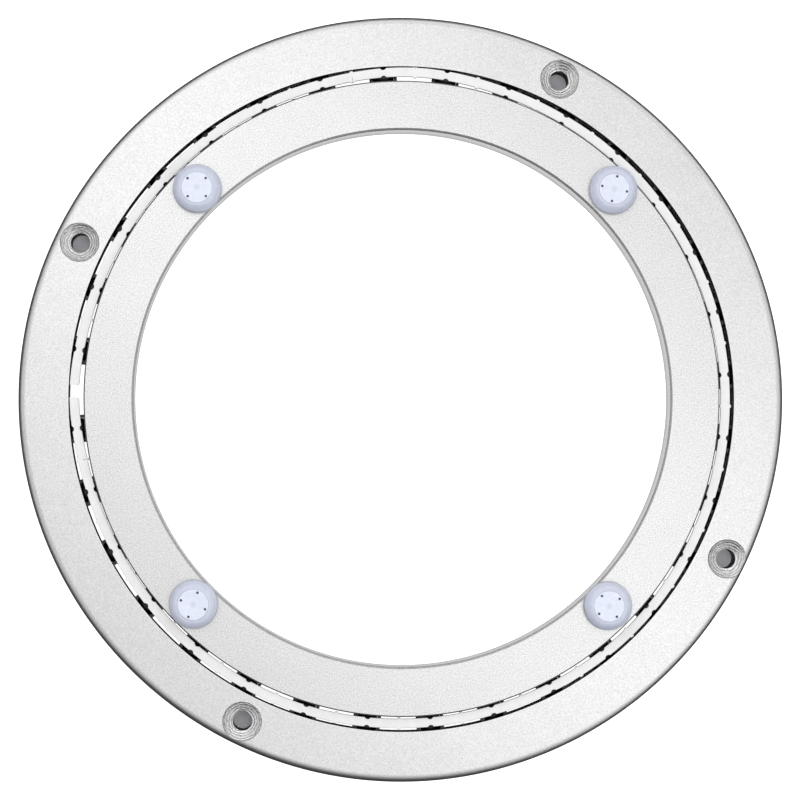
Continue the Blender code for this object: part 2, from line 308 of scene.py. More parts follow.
class TurntableSizes(bpy.types.PropertyGroup):
    """Sizes of the bearing's visible pieces."""

    rim_round: FloatProperty(
        name="Rim Round",
        description="Radius of the outer ring's upper outer edge",
        default=2.0 * MM,
        unit="LENGTH",
    )
    bore_radius: FloatProperty(
        name="Bore Radius",
        description="Radius of the opening in the inner ring",
        default=70.0 * MM,
        unit="LENGTH",
    )
    bore_chamfer: FloatProperty(
        name="Bore Chamfer",
        description="Size of the broken edge round the bore",
        default=0.55 * MM,
        unit="LENGTH",
    )
    screw_hole_radius: FloatProperty(
        name="Screw Hole Radius", description="Radius of each screw hole", default=2.575 * MM, unit="LENGTH"
    )
    countersink_radius: FloatProperty(
        name="Countersink Radius",
        description="Radius of each countersink at its rim",
        default=5.05 * MM,
        unit="LENGTH",
    )
    strip_width: FloatProperty(
        name="Strip Width", description="Width of the cage's strip", default=2.47 * MM, unit="LENGTH"
    )
    notch_radius: FloatProperty(
        name="Notch Radius",
        description="Radius of the notch over each ball",
        default=0.85 * MM,
        unit="LENGTH",
    )
    notch_depth: FloatProperty(
        name="Notch Depth", description="Depth of the notch over each ball", default=0.45 * MM, unit="LENGTH"
    )
    foot_face_radius: FloatProperty(
        name="Foot Face Radius", description="Radius of a foot's flat face", default=4.0 * MM, unit="LENGTH"
    )
    pocket_count: IntProperty(
        name="Pockets", description="Number of balls and pockets", default=len(BALL_NODES)
    )


class TurntableFinishes(bpy.types.PropertyGroup):
    """Colours of the bearing and its stage."""

    outer_alloy: FloatVectorProperty(
        name="Outer Ring",
        description="Anodised alloy of the outer ring",
        subtype="COLOR",
        default=linear("#DCDCDC"),
    )
    inner_alloy: FloatVectorProperty(
        name="Inner Ring",
        description="Anodised alloy of the inner ring",
        subtype="COLOR",
        default=linear("#D9D9D9"),
    )
    cut_alloy: FloatVectorProperty(
        name="Cut Alloy",
        description="Bare alloy where the drill has cut",
        subtype="COLOR",
        default=linear("#EFEFEF"),
    )
    nylon: FloatVectorProperty(
        name="Cage", description="Natural nylon of the ball cage", subtype="COLOR", default=linear("#FBFBFB")
    )
    # Painted shade: near-black colour that stands for the shade down in the gap
    gap_shade: FloatVectorProperty(
        name="Grease",
        description="Dark film of grease inside the gap",
        subtype="COLOR",
        default=linear("#050505"),
    )
    # Painted shade: the steel's colour is darkened far below bare steel's, for the shade round the balls in the
    # gap
    steel: FloatVectorProperty(
        name="Balls", description="Polished bearing steel", subtype="COLOR", default=linear("#3A3A3C")
    )
    # Painted light: the face's paler colour stands for light that comes out through the clear foot's face
    lit_foot_face: FloatVectorProperty(
        name="Foot Faces", description="Milky flat face of a foot", subtype="COLOR", default=linear("#F4F8FF")
    )
    rubber: FloatVectorProperty(
        name="Feet",
        description="Clear polyurethane of a foot's flank",
        subtype="COLOR",
        default=linear("#E6EBFA"),
    )
    # Painted shade: the dark colour of the feet's pips, for the shade in these small hollows
    pip_shade: FloatVectorProperty(
        name="Pip Dust",
        description="Dust that settles in the feet's pips",
        subtype="COLOR",
        default=linear("#666B80"),
    )
    film: FloatVectorProperty(
        name="Adhesive Film",
        description="Clear adhesive under the feet",
        subtype="COLOR",
        default=linear("#EEF0FB"),
    )
    floor: FloatVectorProperty(
        name="Floor", description="Pale studio floor", subtype="COLOR", default=linear("#CFCED3")
    )


# ---------------------------------------------------------------- materials


def add_node(tree, kind, inputs=None, **settings):
    """Add a node, set its options, and give each named input a value or a link."""
    node = tree.nodes.new(kind)
    for option, value in settings.items():
        setattr(node, option, value)
    for socket, value in (inputs or {}).items():
        if isinstance(value, bpy.types.NodeSocket):
            tree.links.new(value, node.inputs[socket])
        else:
            node.inputs[socket].default_value = value
    return node


def new_finish(name):
    """Empty material with its node tree, its output node and the place of each point in its piece."""
    material = bpy.data.materials.new(name)
    material.use_nodes = True
    tree = material.node_tree
    tree.nodes.clear()
    output = tree.nodes.new("ShaderNodeOutputMaterial")
    place = add_node(tree, "ShaderNodeTexCoord").outputs["Object"]
    return material, tree, output, place


def add_surface(tree, output, settings):
    """Finish the material with one shader."""
    shader = add_node(tree, "ShaderNodeBsdfPrincipled", settings)
    tree.links.new(shader.outputs["BSDF"], output.inputs["Surface"])


def arithmetic(tree, operation, first, second=0.0):
    return add_node(tree, "ShaderNodeMath", {0: first, 1: second}, operation=operation).outputs[0]


def remapped(tree, value, span, result, interpolation="LINEAR"):
    """Carry one pair of values over to another, and hold the result at both ends."""
    return add_node(
        tree,
        "ShaderNodeMapRange",
        {"Value": value, "From Min": span[0], "From Max": span[1], "To Min": result[0], "To Max": result[1]},
        interpolation_type=interpolation,
    ).outputs["Result"]


def varied(tree, pattern, result):
    """Carry the usual spread of a noise texture over to another pair of values."""
    return remapped(tree, pattern, NOISE_SPREAD, result)


def specks(tree, place, size, detail=2.0, roughness=0.5):
    """Noise texture with specks of this size."""
    return add_node(
        tree,
        "ShaderNodeTexNoise",
        {"Vector": place, "Scale": scale_for(size), "Detail": detail, "Roughness": roughness},
    ).outputs["Fac"]


def spots(tree, place, spacing):
    """Distance to the nearest of many scattered spots, in spacings."""
    return add_node(
        tree, "ShaderNodeTexVoronoi", {"Vector": place, "Scale": scale_for(spacing)}
    ).outputs["Distance"]


def flattened(tree, place):
    return add_node(
        tree, "ShaderNodeVectorMath", {0: place, 1: (1.0, 1.0, 0.0)}, operation="MULTIPLY"
    ).outputs["Vector"]


def length_of(tree, vector):
    return add_node(tree, "ShaderNodeVectorMath", {0: vector}, operation="LENGTH").outputs["Value"]


def away_from(tree, radius, edge):
    """How far a point lies from a circle about the axis."""
    return arithmetic(tree, "ABSOLUTE", arithmetic(tree, "SUBTRACT", radius, edge))


def toned(tree, colour, tone):
    return add_node(
        tree, "ShaderNodeVectorMath", {0: colour, "Scale": tone}, operation="SCALE"
    ).outputs["Vector"]


def blended(tree, share, first, second):
    return add_node(tree, "ShaderNodeMix", {0: share, 6: first, 7: second}, data_type="RGBA").outputs[2]


def bumped(tree, height, strength, depth):
    return add_node(
        tree, "ShaderNodeBump", {"Height": height, "Strength": strength, "Distance": depth}
    ).outputs["Normal"]


def blasted_anodised_aluminium(name, colour, grit, contrast, lip_radius, edge_radius, shaded_past=None):
    """Aluminium, blasted with fine grit and anodised clear: a white sheen, an even grain and brighter edges.

    Past the given radius the colour is darkened over the lip's chamfer as painted shade, which draws it as a
    dark line where the edge drops into the gap.
    """
    material, tree, output, place = new_finish(name)
    # The real grit is about 0.1 mm, and is drawn coarser here so that it still shows from arm's length.
    grain = specks(tree, place, grit, detail=3.0, roughness=0.65)
    cloud = specks(tree, place, CLOUD_SIZE)
    pits = remapped(tree, spots(tree, place, PIT_SPACING), PIT_EDGE, (PIT_DARKNESS * contrast, 0.0))
    tone = varied(tree, grain, (1.0 - contrast, 1.0 + contrast))
    tone = arithmetic(tree, "MULTIPLY", tone, varied(tree, cloud, CLOUD_TONES))
    tone = arithmetic(tree, "SUBTRACT", tone, pits)
    radius = length_of(tree, flattened(tree, place))
    # Painted shade: past this radius the lip's chamfer is darkened into a dark line, for the shade at the edge
    # of the gap.
    if shaded_past:
        fade = (shaded_past - LIP_SHADE_FADE, shaded_past + LIP_SHADE_FADE)
        film = remapped(tree, radius, fade, (1.0, LIP_SHADE_TONE))
        tone = arithmetic(tree, "MULTIPLY", tone, film)
    # Handling has polished the anodising off the lip and the outer edge, within a fifth of a millimetre.
    lip_wear = remapped(tree, away_from(tree, radius, lip_radius), WEAR_WIDTH, (1.0, 0.0))
    edge_wear = remapped(tree, away_from(tree, radius, edge_radius), WEAR_WIDTH, (1.0, 0.0))
    rubbed = arithmetic(tree, "MULTIPLY", arithmetic(tree, "MAXIMUM", lip_wear, edge_wear), cloud)
    add_surface(
        tree,
        output,
        {
            "Base Color": toned(tree, colour, tone),
            "Metallic": 1.0,
            "Roughness": remapped(tree, rubbed, RUBBED_SPAN, RUBBED_ROUGHNESS),
            "Normal": bumped(tree, grain, 0.22, FINE_BUMP),
        },
    )
    return material


def drilled_aluminium(colour, mouth_radius):
    """Bare aluminium left by a chattering countersink: greyer than the anodised face, ringed by tool marks
    drawn as painted shade and painted highlight.
    """
    material, tree, output, place = new_finish("drilled_bare_aluminium")
    streaks = specks(tree, place, STREAK_SIZE, detail=4.0, roughness=0.7)
    drift = specks(tree, place, SCORE_DRIFT_SIZE)
    flat_place = flattened(tree, place)
    reach = None
    for degrees, radius, _ in SCREW_HOLES:
        away = add_node(
            tree, "ShaderNodeVectorMath", {0: flat_place, 1: polar(radius, degrees)}, operation="DISTANCE"
        ).outputs["Value"]
        reach = away if reach is None else arithmetic(tree, "MINIMUM", reach, away)
    # Painted shade lies in the grooves of the chatter as thin dark rings, with painted highlight between them,
    # and painted shade darkens the ragged edge of the mouth.
    swept = arithmetic(tree, "ADD", reach, varied(tree, drift, (-SCORE_DRIFT, SCORE_DRIFT)))
    wave = arithmetic(tree, "SINE", arithmetic(tree, "MULTIPLY", swept, 2 * math.pi / CHATTER_PITCH))
    chatter_shade = remapped(tree, wave, CHATTER_SHADE_SPAN, CHATTER_SHADE_TONES)
    # Painted shade: a dark band just inside each countersink's mouth.
    mouth_shade = remapped(tree, reach, [mouth_radius - inward for inward in MOUTH_SHADE_BAND], (1.0, MOUTH_SHADE_TONE))
    tone = arithmetic(tree, "MULTIPLY", varied(tree, streaks, STREAK_TONES), chatter_shade)
    tone = arithmetic(tree, "MULTIPLY", tone, mouth_shade)
    add_surface(
        tree,
        output,
        {
            "Base Color": toned(tree, colour, tone),
            "Metallic": 1.0,
            "Roughness": 0.3,
            "Normal": bumped(tree, streaks, 0.3, COARSE_BUMP),
        },
    )
    return material


def moulded_nylon(nylon, gap_shade, shade_line, top):
    """Natural nylon, injection moulded: milky and satin on top, blackened by painted shade down in the gap."""
    material, tree, output, place = new_finish("moulded_nylon")
    height = add_node(tree, "ShaderNodeSeparateXYZ", {"Vector": place}).outputs["Z"]
    smear = specks(tree, place, NYLON_SMEAR_SIZE, detail=3.0)
    # Painted shade: below the strip's foot the pockets and webs are blackened, for the shade down in the gap.
    level = arithmetic(tree, "ADD", height, varied(tree, smear, (-SHADE_LINE_RAGGED, SHADE_LINE_RAGGED)))
    gap_shaded = remapped(tree, level, (shade_line - SHADE_LINE_BLUR, shade_line + SHADE_LINE_BLUR), (1.0, 0.0))
    # Painted shade darkens the moulded edges just below the top, and outlines the strip in grey.
    outline = remapped(tree, height, (top - STRIP_EDGE, top - UNSHADED_TOP), (EDGE_SHADE_TONE, 1.0))
    tone = arithmetic(tree, "MULTIPLY", varied(tree, smear, NYLON_TONES), outline)
    texture = specks(tree, place, NYLON_TEXTURE_SIZE)
    add_surface(
        tree,
        output,
        {
            "Base Color": blended(tree, gap_shaded, toned(tree, nylon, tone), rgba(gap_shade)),
            "Roughness": remapped(tree, gap_shaded, (0.0, 1.0), NYLON_ROUGHNESS),
            "IOR": 1.53,
            "Normal": bumped(tree, texture, 0.1, FINE_BUMP),
        },
    )
    return material


def polished_bearing_steel(colour):
    """Chrome steel, lapped and polished: a mirror with its colour darkened as painted shade, and a faint greasy
    smear.
    """
    material, tree, output, place = new_finish("polished_bearing_steel")
    smear = specks(tree, place, STEEL_SMEAR_SIZE)
    add_surface(
        tree,
        output,
        {
            "Base Color": toned(tree, colour, varied(tree, smear, STEEL_TONES)),
            "Metallic": 1.0,
            "Roughness": varied(tree, smear, STEEL_ROUGHNESS),
            "Normal": bumped(tree, smear, 0.03, FINE_BUMP),
        },
    )
    return material


def cast_polyurethane(lit_face_colour, flank_colour, face_radius, foot_radius):
    """Clear polyurethane, cast in a polished mould: glassy lavender on its flank, paler on its flat face as
    painted light.
    """
    material, tree, output, place = new_finish("cast_clear_polyurethane")
    flow = specks(tree, place, FLOW_SIZE, detail=3.0)
    radius = length_of(tree, flattened(tree, place))
    on_flank = remapped(tree, radius, (face_radius - FACE_BLUR, face_radius), (0.0, 1.0))
    # Painted light: the flat face takes a paler colour than the flank.
    colour = blended(tree, on_flank, rgba(lit_face_colour), rgba(flank_colour))
    # Painted shade darkens the dimple and the two thin edges, where light leaves them sideways.
    dimple = remapped(tree, radius, (0.0, DIMPLE_RADIUS), (DIMPLE_SHADE_TONE, 1.0), "SMOOTHSTEP")
    tone = arithmetic(tree, "MULTIPLY", varied(tree, flow, FLOW_TONES), dimple)
    for edge, width, darkness in ((face_radius, *FACE_EDGE_SHADE), (foot_radius, *FOOT_EDGE_SHADE)):
        line = remapped(tree, away_from(tree, radius, edge), (0.0, width), (1.0 - darkness, 1.0))
        tone = arithmetic(tree, "MULTIPLY", tone, line)
    # Painted light: the face glows, and the flank less, for light gathered inside the clear block, though the
    # foot is no lamp.
    add_surface(
        tree,
        output,
        {
            "Base Color": toned(tree, colour, tone),
            "Roughness": varied(tree, flow, RUBBER_ROUGHNESS),
            "IOR": 1.49,
            "Transmission Weight": 0.2,
            "Emission Color": rgba(linear("#C4D0FF")),
            "Emission Strength": remapped(tree, on_flank, (0.0, 1.0), (FACE_GLOW, FLANK_GLOW)),
            "Normal": bumped(tree, flow, 0.08, COARSE_BUMP),
        },
    )
    return material


def shaded_pip(colour):
    """Painted shade in a moulding pip: a small dark dot."""
    material, tree, output, place = new_finish("shaded_pip")
    pip_speck = specks(tree, place, PIP_SPECK_SIZE, detail=3.0)
    tinted = toned(tree, colour, varied(tree, pip_speck, PIP_SPECK_TONES))
    add_surface(tree, output, {"Base Color": tinted, "Roughness": 0.8})
    return material


def acrylic_adhesive(colour):
    """Acrylic adhesive film, die cut: a thin milky disc with tiny trapped bubbles."""
    material, tree, output, place = new_finish("die_cut_acrylic_adhesive")
    bubbles = spots(tree, place, BUBBLE_SPACING)
    add_surface(
        tree,
        output,
        {
            "Base Color": toned(tree, colour, remapped(tree, bubbles, BUBBLE_EDGE, BUBBLE_TONES)),
            "Roughness": 0.35,
            "IOR": 1.48,
            "Normal": bumped(tree, bubbles, 0.1, FINE_BUMP),
        },
    )
    return material


# ---------------------------------------------------------------- mesh work


def polar(radius, degrees, height=0.0):
    """Point at a distance and an angle about the bearing's axis."""
    angle = math.radians(degrees)
    return Vector((radius * math.cos(angle), radius * math.sin(angle), height))


def arc_points(centre, radius, start, end, steps=CORNER_STEPS):
    """Points of an arc about its centre, from one angle to another in degrees."""
    points = []
    for step in range(steps + 1):
        angle = math.radians(start + (end - start) * step / steps)
        points.append((centre[0] + radius * math.cos(angle), centre[1] + radius * math.sin(angle)))
    return points


def link_object(name, mesh, material=None):
    obj = bpy.data.objects.new(name, mesh)
    bpy.context.scene.collection.objects.link(obj)
    if material:
        mesh.materials.append(material)
    return obj


def shade(mesh):
    """Round sides shade smooth, and edges sharper than the limit stay crisp."""
    mesh.shade_smooth()
    mesh.set_sharp_from_angle(angle=SMOOTH_BELOW)


def mesh_from(name, bm):
    bmesh.ops.recalc_face_normals(bm, faces=bm.faces)
    mesh = bpy.data.meshes.new(name)
    bm.to_mesh(mesh)
    bm.free()
    shade(mesh)
    return mesh


def turned(name, profile, segments, closed=True):
    """Turn a profile of (radius, height) points once about the Z axis."""
    bm = bmesh.new()
    verts = [bm.verts.new((radius, 0.0, height)) for radius, height in profile]
    pairs = zip(verts, verts[1:] + verts[:1]) if closed else zip(verts, verts[1:])
    edges = [bm.edges.new(pair) for pair in pairs]
    bmesh.ops.spin(
        bm,
        geom=verts + edges,
        cent=(0.0, 0.0, 0.0),
        axis=(0.0, 0.0, 1.0),
        angle=2 * math.pi,
        steps=segments,
        use_merge=True,
    )
    bmesh.ops.remove_doubles(bm, verts=bm.verts, dist=MERGE_DISTANCE)
    return mesh_from(name, bm)


def combine(obj, operation, other):
    """Join another mesh to this one or cut it away, and keep the result as plain mesh."""
    modifier = obj.modifiers.new(operation.lower(), "BOOLEAN")
    modifier.operation = operation
    modifier.object = other
    modifier.solver = "EXACT"
    modifier.material_mode = "TRANSFER"
    depsgraph = bpy.context.evaluated_depsgraph_get()
    mesh = bpy.data.meshes.new_from_object(obj.evaluated_get(depsgraph))
    obj.modifiers.clear()
    obj.data = mesh
    shade(mesh)
    bpy.data.objects.remove(other, do_unlink=True)


def settle(obj, body, slot_name, *nodes):
    """The piece rides on its body and stands in for its nodes, which are hidden. The slot name is not used."""
    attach(obj, body)
    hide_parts(*nodes)


# ---------------------------------------------------------------- rings


def lip_radii():
    """Radius of the inner ring's outer lip and of the outer ring's inner lip."""
    inner = INNER_HIGH.x
    ball_middle = pitch_radius()
    return inner, 2 * ball_middle - inner


def pitch_radius():
    """Distance of the balls' centres from the axis."""
    low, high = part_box(BALL_NODES[0])
    middle = (low + high) / 2
    return math.hypot(middle.x, middle.y)


def ball_height():
    return (BALL_LOW.z + BALL_HIGH.z) / 2


def ball_radius():
    return (BALL_HIGH.z - BALL_LOW.z) / 2


def race_points(side, lower_relief=0.0):
    """Groove from the upper lip down to the lower one, outside the balls for side 1 and inside for side -1."""
    inner_lip, outer_lip = lip_radii()
    lip = (outer_lip - inner_lip) / 2
    reach = ball_radius() + RACE_CLEARANCE
    points = []
    for offset, way in ((lip, 1), (RACE_FLOOR_OFFSET, 1), (RACE_FLOOR_OFFSET, -1), (lip + lower_relief, -1)):
        half = (reach - offset * math.cos(CONTACT_ANGLE)) / math.sin(CONTACT_ANGLE)
        points.append((pitch_radius() + side * offset, ball_height() + way * half))
    return points


def outer_ring_profile(sizes):
    top = OUTER_HIGH.z
    lip = lip_radii()[1]
    lower_lip = lip + LOWER_LIP_RELIEF
    rim = OUTER_HIGH.x
    rim_start = rim - sizes.rim_round
    tray_start = rim - TRAY_SIDE_ROUND
    return [
        (rim_start - SUPPORT, top),
        (lip + LIP_ROUND + SUPPORT, top),
        *arc_points((lip + LIP_ROUND, top - LIP_ROUND), LIP_ROUND, 90, 180),
        *race_points(1, LOWER_LIP_RELIEF),
        *arc_points((lower_lip + LIP_ROUND, LIP_ROUND), LIP_ROUND, 180, 270),
        (lower_lip + LIP_ROUND + SUPPORT, 0.0),
        (tray_start - SUPPORT, 0.0),
        *arc_points((tray_start, TRAY_SIDE_ROUND), TRAY_SIDE_ROUND, -90, 0),
        *arc_points((rim_start, top - sizes.rim_round), sizes.rim_round, 0, 90, 2 * CORNER_STEPS),
    ]


def inner_ring_profile(sizes):
    top = INNER_HIGH.z
    foot = INNER_LOW.z
    lip = lip_radii()[0]
    bore = sizes.bore_radius
    chamfer = sizes.bore_chamfer
    return [
        (bore + chamfer + SUPPORT, top),
        (lip - INNER_LIP_CHAMFER - SUPPORT, top),
        (lip - INNER_LIP_CHAMFER, top),
        (lip, top - INNER_LIP_CHAMFER),
        *race_points(-1),
        *reversed(arc_points((lip - LIP_ROUND, foot + LIP_ROUND), LIP_ROUND, -90, 0)),
        (lip - LIP_ROUND - SUPPORT, foot),
        (bore + chamfer + SUPPORT, foot),
        (bore + chamfer, foot),
        (bore, foot + chamfer),
        (bore, foot + chamfer + SUPPORT),
        (bore, top - chamfer - SUPPORT),
        (bore, top - chamfer),
        (bore + chamfer, top),
    ]


def countersink_wobble(angle, rise, turn):
    """How far the cone stands off its true radius: rings of chatter, drifting round like a screw thread."""
    drift = CHATTER_DRIFT * math.sin(2 * angle + turn) / CHATTER_PITCH
    rings = CHATTER_DEPTH * abs(math.sin(math.pi * (rise / CHATTER_PITCH + drift) + angle / 2))
    place = Vector((math.cos(angle), math.sin(angle), turn)) * (COUNTERSINK_SPAN / RAGGED_LENGTH)
    return rings + RAGGED_EDGE * noise.noise(place)


def add_drilled_hole(bm, sizes, degrees, radius, turn, top):
    """Closed cutter for one countersunk hole, with the tool's marks on its cone."""
    mouth_rise = sizes.countersink_radius - sizes.screw_hole_radius + CUT_MARGIN
    depth = mouth_rise / math.tan(COUNTERSINK_SLOPE)
    levels = [(-CUT_MARGIN, sizes.screw_hole_radius, None)]
    for step in range(CONE_STEPS + 1):
        share = step / CONE_STEPS
        rise = mouth_rise * share
        levels.append((top + CUT_MARGIN - depth * (1 - share), sizes.screw_hole_radius + rise, rise))
    centre = polar(radius, degrees)
    rings = []
    for height, reach, rise in levels:
        ring = []
        for segment in range(HOLE_SEGMENTS):
            angle = 2 * math.pi * segment / HOLE_SEGMENTS
            out = reach
            if rise:
                out += countersink_wobble(angle, rise, math.radians(turn))
            ring.append(bm.verts.new(centre + Vector((out * math.cos(angle), out * math.sin(angle), height))))
        rings.append(ring)
    for lower, upper in zip(rings, rings[1:]):
        for segment in range(HOLE_SEGMENTS):
            after = (segment + 1) % HOLE_SEGMENTS
            bm.faces.new((lower[segment], lower[after], upper[after], upper[segment]))
    bm.faces.new(rings[0])
    bm.faces.new(rings[-1])


class TURNTABLE_OT_outer_ring(bpy.types.Operator):
    """Build the outer ring with its four drilled and countersunk screw holes"""

    bl_idname = "turntable.outer_ring"
    bl_label = "Outer Ring"

    def execute(self, context):
        sizes = context.scene.turntable_sizes
        colours = context.scene.turntable_finishes
        lip = lip_radii()[1]
        alloy = blasted_anodised_aluminium(
            "blasted_anodised_aluminium", colours.outer_alloy, OUTER_GRIT, OUTER_CONTRAST, lip, OUTER_HIGH.x
        )
        name = "outer_ring_turned"
        ring = link_object(name, turned(name, outer_ring_profile(sizes), RING_SEGMENTS), alloy)
        holes = bmesh.new()
        for degrees, radius, turn in SCREW_HOLES:
            add_drilled_hole(holes, sizes, degrees, radius, turn, OUTER_HIGH.z)
        bare = drilled_aluminium(colours.cut_alloy, sizes.countersink_radius)
        combine(ring, "DIFFERENCE", link_object("drill", mesh_from("drill", holes), bare))
        settle(ring, "outer_ring", "outer_ring", "outer_ring")
        return {"FINISHED"}


class TURNTABLE_OT_inner_ring(bpy.types.Operator):
    """Build the inner ring"""

    bl_idname = "turntable.inner_ring"
    bl_label = "Inner Ring"

    def execute(self, context):
        sizes = context.scene.turntable_sizes
        colours = context.scene.turntable_finishes
        lip = lip_radii()[0]
        alloy = blasted_anodised_aluminium(
            "coarse_blasted_aluminium",
            colours.inner_alloy,
            INNER_GRIT,
            INNER_CONTRAST,
            lip,
            sizes.bore_radius,
            # Painted shade darkens the lip's chamfer past this radius.
            shaded_past=lip - INNER_LIP_CHAMFER,
        )
        name = "inner_ring_turned"
        ring = link_object(name, turned(name, inner_ring_profile(sizes), RING_SEGMENTS), alloy)
        settle(ring, "inner_ring", "inner_ring", "inner_ring")
        return {"FINISHED"}


# ---------------------------------------------------------------- cage and balls


def pocket_angles(count):
    return [FIRST_POCKET + POCKET_PITCH * index for index in range(count)]


def strip_radius(degrees):
    """Middle of the strip at this angle."""
    radius = RELAXED_RADIUS
    for place, lift, reach in STRIP_WAVES:
        away = (degrees - place + 180) % 360 - 180
        radius += lift * math.exp(-((away / reach) ** 2))
    return radius


def arc_degrees(length):
    """Angle that this length of the strip takes up."""
    return math.degrees(length / pitch_radius())


def station(sizes, degrees, inward=0.0, outward=0.0, hairline=0.0):
    """Angle, inner and outer radius, and the depth of a moulding line across the strip's inner half."""
    middle = strip_radius(degrees)
    half = sizes.strip_width / 2
    return degrees, middle - half - inward, middle + half + outward, hairline


def nub_station(sizes, degrees, hairline=0.0, tick=0.0):
    """The nubs reach for the lips and stop at a running clearance."""
    _, inner, outer, _ = station(sizes, degrees, NUB_REACH, NUB_REACH)
    inner_lip, outer_lip = lip_radii()
    inner = max(inner, inner_lip + LIP_CLEARANCE)
    outer = min(outer, outer_lip - LIP_CLEARANCE)
    return degrees, inner, outer - tick, hairline


def notch_stations(sizes, pocket):
    """Half-round notch in both edges over one ball."""
    past_edge = sizes.notch_radius - sizes.notch_depth
    half_notch = math.sqrt(sizes.notch_radius**2 - past_edge**2)
    stations = []
    for step in range(-NOTCH_STEPS, NOTCH_STEPS + 1):
        along = half_notch * math.sin(math.pi / 2 * step / NOTCH_STEPS)
        depth = math.sqrt(sizes.notch_radius**2 - along**2) - past_edge
        stations.append(station(sizes, pocket + arc_degrees(along), -depth, -depth))
    return stations


def nub_stations(sizes, middle, link):
    """Nub on both edges halfway between two balls, on a few links with the mark of the mould's joint."""
    top = arc_degrees(NUB_WIDTH / 2)
    base = top + arc_degrees(NUB_DRAFT)
    stations = [station(sizes, middle - base), nub_station(sizes, middle - top)]
    if link in HAIRLINE_LINKS or link == TICK_LINK:
        hair = arc_degrees(HAIRLINE_WIDTH / 2)
        depth = HAIRLINE_DEPTH if link in HAIRLINE_LINKS else 0.0
        tick = TICK_DEPTH if link == TICK_LINK else 0.0
        stations.append(nub_station(sizes, middle - hair))
        stations.append(nub_station(sizes, middle, depth, tick))
        stations.append(nub_station(sizes, middle + hair))
    stations.append(nub_station(sizes, middle + top))
    stations.append(station(sizes, middle + base))
    return stations


def fill_between(sizes, stations):
    """Plain stations wherever two neighbours stand far apart, so that the strip stays round."""
    widest = POCKET_PITCH / (2 * PLAIN_STEPS)
    filled = [stations[0]]
    for following in stations[1:]:
        start = filled[-1][0]
        steps = math.ceil((following[0] - start) / widest)
        for step in range(1, steps):
            filled.append(station(sizes, start + (following[0] - start) * step / steps))
        filled.append(following)
    return filled


def end_stations(sizes, end, way):
    """Strip's end with its rounded inner corner, listed from the end inward."""
    corner = arc_degrees(END_CORNER)
    stations = []
    for step in range(CORNER_STEPS + 1):
        share = step / CORNER_STEPS
        pulled = END_CORNER * (1 - math.sqrt(1 - (1 - share) ** 2))
        stations.append(station(sizes, end + way * corner * share, -pulled))
    return stations


def strip_stations(sizes):
    angles = pocket_angles(sizes.pocket_count)
    stations = end_stations(sizes, angles[0] - START_MARGIN, 1)
    for link, pocket in enumerate(angles):
        stations += notch_stations(sizes, pocket)
        if pocket != angles[-1]:
            stations += nub_stations(sizes, pocket + POCKET_PITCH / 2, link)
    stations += reversed(end_stations(sizes, angles[-1] + END_MARGIN, -1))
    return fill_between(sizes, stations)


def add_strip(bm, stations, low, high):
    """Solid strip through the stations, with small rounded edges and a middle line along its top."""
    rows = []
    for degrees, inner, outer, hairline in stations:
        middle = strip_radius(degrees)
        section = (
            (inner + STRIP_EDGE, low),
            (outer - STRIP_EDGE, low),
            (outer, low + STRIP_EDGE),
            (outer, high - STRIP_EDGE),
            (outer - STRIP_EDGE, high),
            (middle, high),
            (middle - SUPPORT, high - hairline),
            (inner + STRIP_EDGE, high - hairline),
            (inner, high - STRIP_EDGE - hairline),
            (inner, low + STRIP_EDGE),
        )
        rows.append([bm.verts.new(polar(radius, degrees, height)) for radius, height in section])
    for row, following in zip(rows, rows[1:]):
        for index in range(len(row)):
            after = (index + 1) % len(row)
            bm.faces.new((row[index], row[after], following[after], following[index]))
    bm.faces.new(rows[0])
    bm.faces.new(rows[-1])


def add_pocket(bm, degrees):
    """Block round one ball, with a web that joins it to the strip above."""
    pitch = pitch_radius()
    middle = ball_height()
    shift = strip_radius(degrees) - pitch
    web_high = CAGE_HIGH.z - WEB_OVERLAP
    web_in = shift - WEB_WIDTH / 2
    web_out = shift + WEB_WIDTH / 2
    block_low = middle - POCKET_HALF_HEIGHT
    block_high = middle + POCKET_HALF_HEIGHT
    block = POCKET_WIDTH / 2
    outline = (
        (-block, block_low),
        (block, block_low),
        (block, block_high),
        (web_out, block_high),
        (web_out, web_high),
        (web_in, web_high),
        (web_in, block_high),
        (-block, block_high),
    )
    turn = Matrix.Rotation(math.radians(degrees), 4, "Z")
    ends = []
    for side in (-1, 1):
        along = side * POCKET_LENGTH / 2
        corners = [turn @ Vector((pitch + across, along, height)) for across, height in outline]
        ends.append([bm.verts.new(corner) for corner in corners])
    near, far = ends
    for index in range(len(outline)):
        after = (index + 1) % len(outline)
        bm.faces.new((near[index], near[after], far[after], far[index]))
    bm.faces.new(near)
    bm.faces.new(far)


def add_pocket_bore(bm, degrees):
    """Upright bore through one pocket, a little wider than its ball and just short of the strip's top."""
    place = Matrix.Translation(polar(pitch_radius(), degrees, ball_height()))
    bmesh.ops.create_cone(
        bm,
        cap_ends=True,
        segments=POCKET_BORE_SEGMENTS,
        radius1=POCKET_BORE_RADIUS,
        radius2=POCKET_BORE_RADIUS,
        depth=POCKET_BORE_DEPTH,
        matrix=place,
    )


